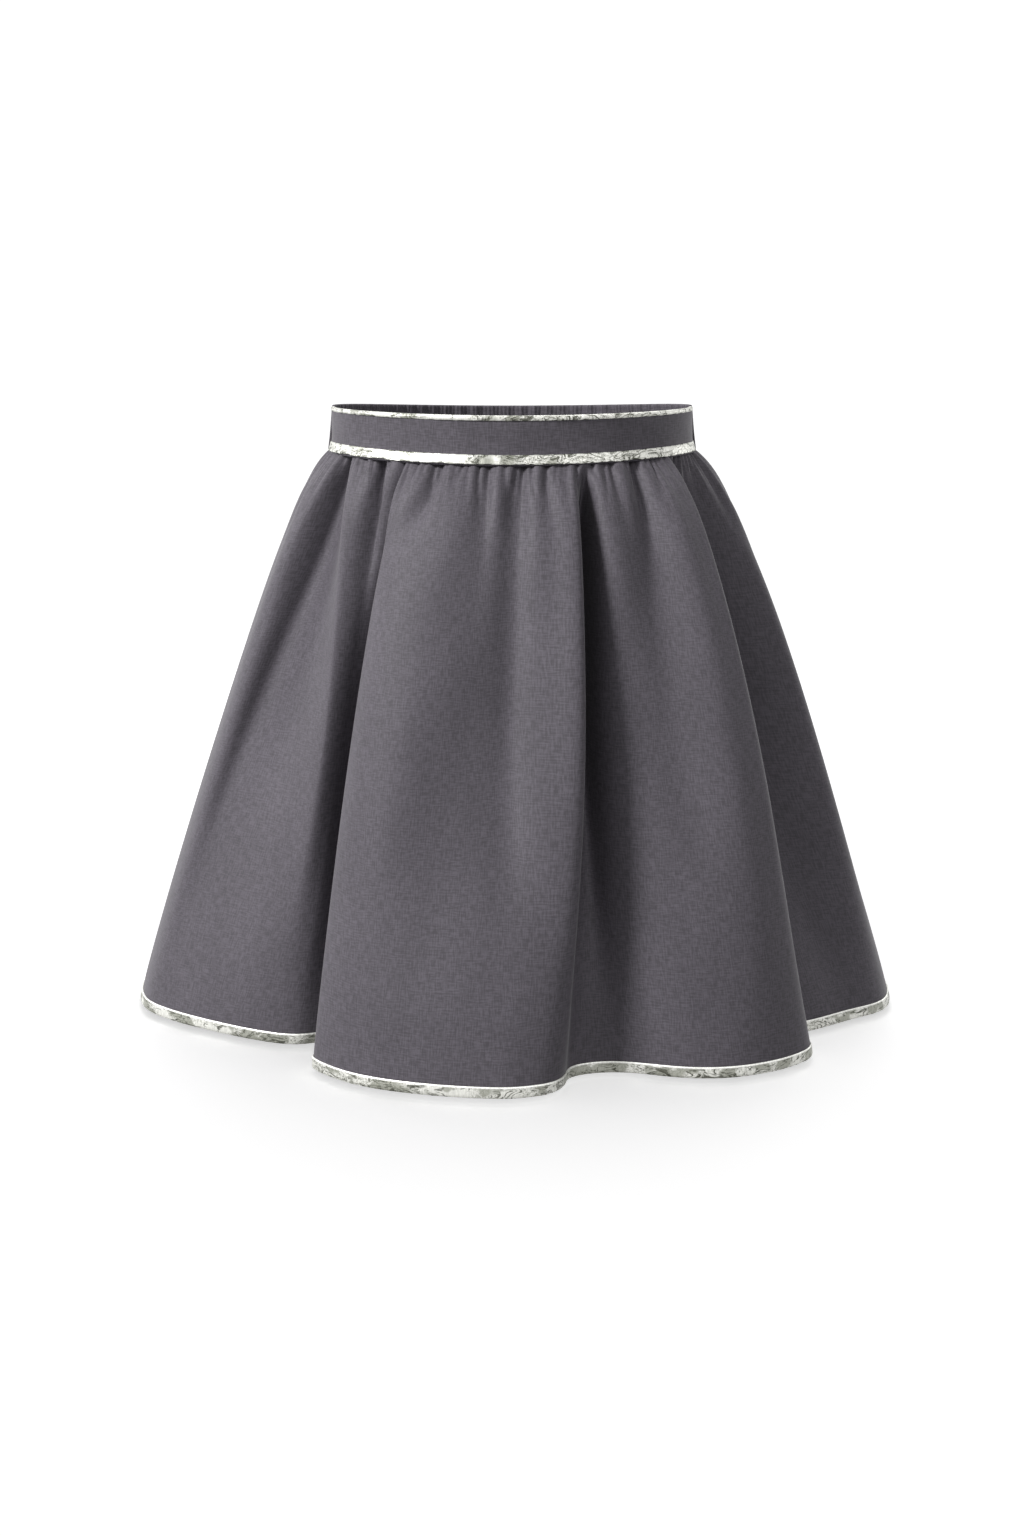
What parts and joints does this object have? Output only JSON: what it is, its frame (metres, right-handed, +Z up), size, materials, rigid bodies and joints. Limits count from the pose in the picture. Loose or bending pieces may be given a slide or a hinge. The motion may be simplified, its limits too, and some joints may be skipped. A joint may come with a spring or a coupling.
{
  "type": "gathered skirt",
  "caption": "Gathered skirt that flares from a flat front waistband and an elasticated back, with trim along the waist and a bound hem, held open as worn.",
  "frame": {"origin": "middle of the waist opening, at the height of the waistband's top edge at the sides", "axes": "+Z up, -Y to the skirt's front, +X to the right of a viewer who faces the front"},
  "size_m": [0.5415, 0.4779, 0.4204],
  "materials": {
    "grey_satin": "dark grey satin, soft sheen",
    "silver_brocade": "silver brocade with fine darker veins"
  },
  "bodies": {
    "root": {"skirt_front": "grey_satin", "skirt_back": "grey_satin", "waistband_front": "grey_satin", "waistband_back": "grey_satin", "trim_top_edge": "silver_brocade", "trim_waist_seam": "silver_brocade", "hem_binding": "silver_brocade"}
  },
  "joints": []
}
